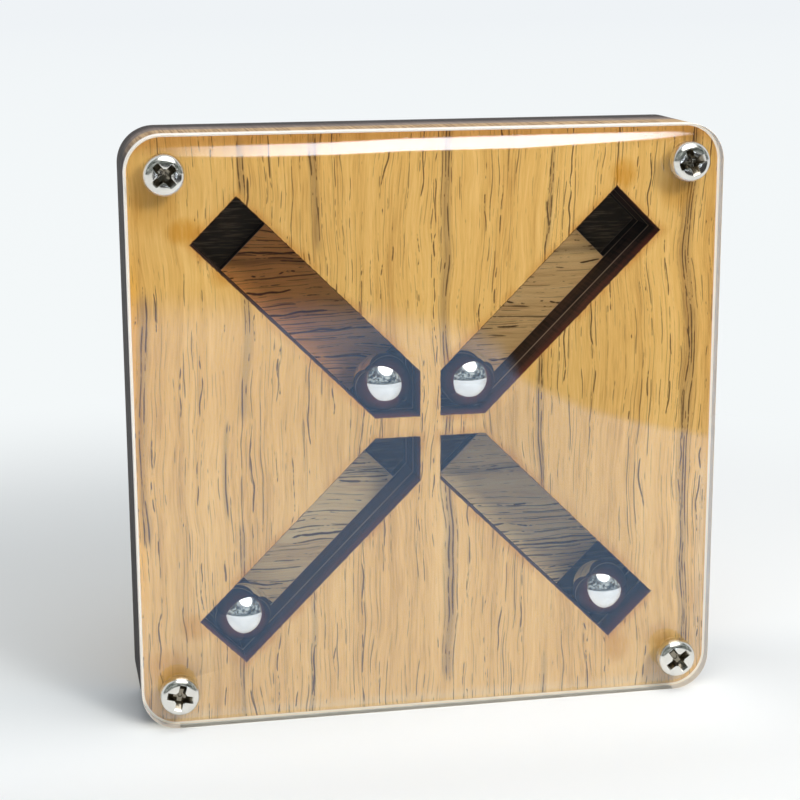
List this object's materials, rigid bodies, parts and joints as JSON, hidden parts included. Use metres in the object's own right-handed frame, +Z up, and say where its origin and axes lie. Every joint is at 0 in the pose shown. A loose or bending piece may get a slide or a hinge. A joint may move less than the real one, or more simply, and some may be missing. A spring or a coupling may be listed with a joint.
{
  "type": "labyrinth puzzle",
  "caption": "Square standing dexterity puzzle: steel balls roll in diagonal channels with end pits, behind a clear window screwed to laser-cut wood panels.",
  "frame": {"origin": "middle of the bottom edge the puzzle stands on, halfway between the back face and the crowns of the screw heads", "axes": "+X to the right seen from the front, +Y towards the back, +Z up"},
  "size_m": [0.1016, 0.022, 0.1016],
  "materials": {
    "clear_acrylic": "clear polished acrylic",
    "face_veneer": "golden brown veneer with dark vertical grain, laser-cut edges charred brown",
    "core_wood": "plain panel wood, laser-cut edges charred dark brown",
    "floor_veneer": "brown veneer with horizontal grain, pits charred",
    "back_wood": "plain veneer, laser-cut edges charred",
    "screw_nickel": "bright nickel plate",
    "ball_steel": "polished mirror"
  },
  "bodies": {
    "case": {"front_window": "clear_acrylic", "face_panel": "face_veneer", "core_panel": "core_wood", "floor_panel": "floor_veneer", "back_panel": "back_wood", "screw_upper_left": "screw_nickel", "screw_upper_right": "screw_nickel", "screw_lower_left": "screw_nickel", "screw_lower_right": "screw_nickel"},
    "upper_left_ball": {"ball_upper_left": "ball_steel"},
    "upper_right_ball": {"ball_upper_right": "ball_steel"},
    "lower_left_ball": {"ball_lower_left": "ball_steel"},
    "lower_right_ball": {"ball_lower_right": "ball_steel"}
  },
  "joints": [
    {"name": "upper_left_roll", "type": "slide", "parent": "case", "child": "upper_left_ball", "axis": [-0.7071, 0, 0.7071], "range_m": [0, 0.03605]},
    {"name": "upper_right_roll", "type": "slide", "parent": "case", "child": "upper_right_ball", "axis": [0.7071, 0, 0.7071], "range_m": [0, 0.03605]},
    {"name": "lower_left_roll", "type": "slide", "parent": "case", "child": "lower_left_ball", "axis": [0.7071, 0, 0.7071], "range_m": [0, 0.03605]},
    {"name": "lower_right_roll", "type": "slide", "parent": "case", "child": "lower_right_ball", "axis": [-0.7071, 0, 0.7071], "range_m": [0, 0.03605]}
  ]
}
